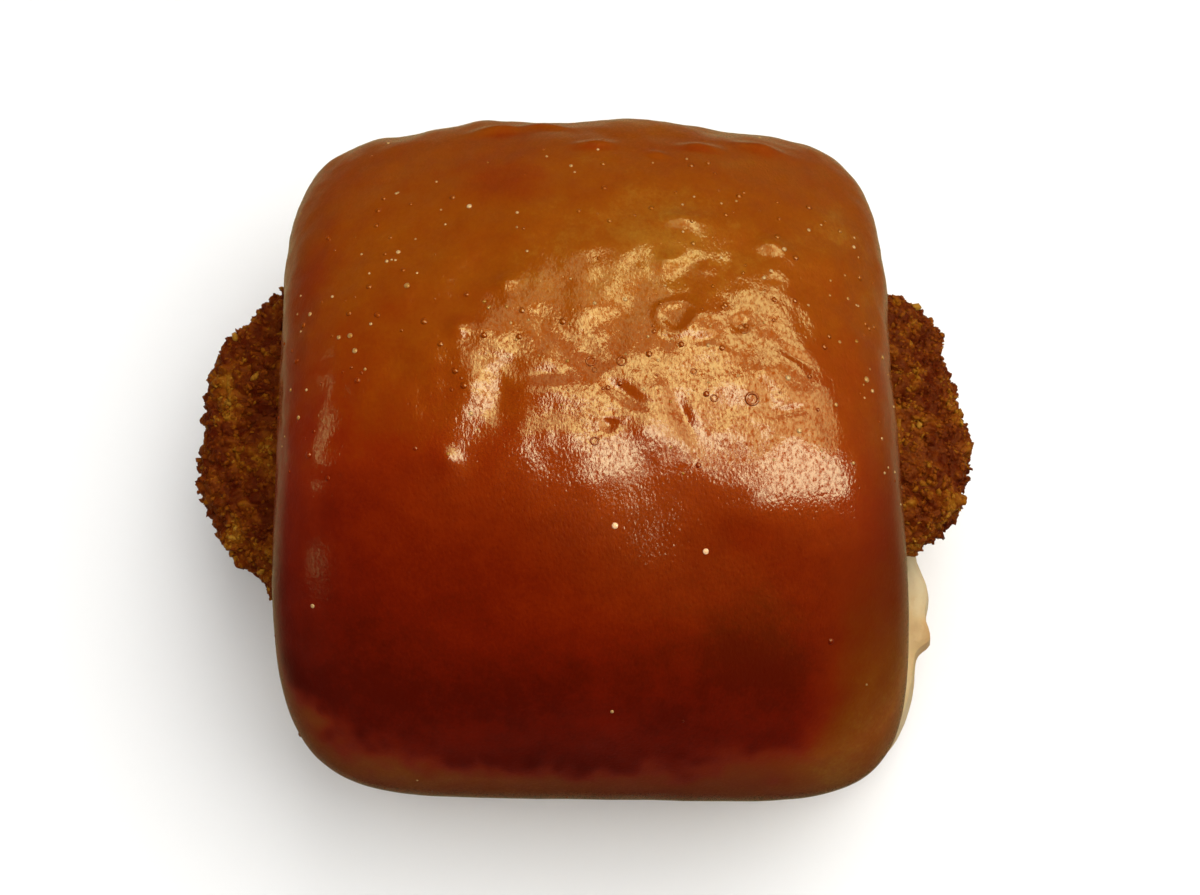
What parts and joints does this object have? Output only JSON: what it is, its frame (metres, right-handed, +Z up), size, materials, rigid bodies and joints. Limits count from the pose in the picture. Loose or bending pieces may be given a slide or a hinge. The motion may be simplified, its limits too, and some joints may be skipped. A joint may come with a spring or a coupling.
{
  "type": "croquette bun",
  "caption": "Soft square milk roll with a glossy browned top, sliced and filled with an oval breaded croquette that sticks out of the cut on either side.",
  "frame": {"origin": "on the surface that the bun stands on, under the middle of its bounding box", "axes": "+Z up; +X to the right along the croquette, which sticks out at -X and +X; +Y to the back"},
  "size_m": [0.1084, 0.093, 0.0601],
  "materials": {
    "glazed_crust": "glossy egg-washed crust, golden to dark red brown",
    "fried_breading": "rough fried breadcrumbs, deep brown",
    "pale_crust": "soft pale bread, browned at its base"
  },
  "bodies": {
    "root": {"bun_top": "glazed_crust", "croquette": "fried_breading", "bun_bottom": "pale_crust"}
  },
  "joints": []
}
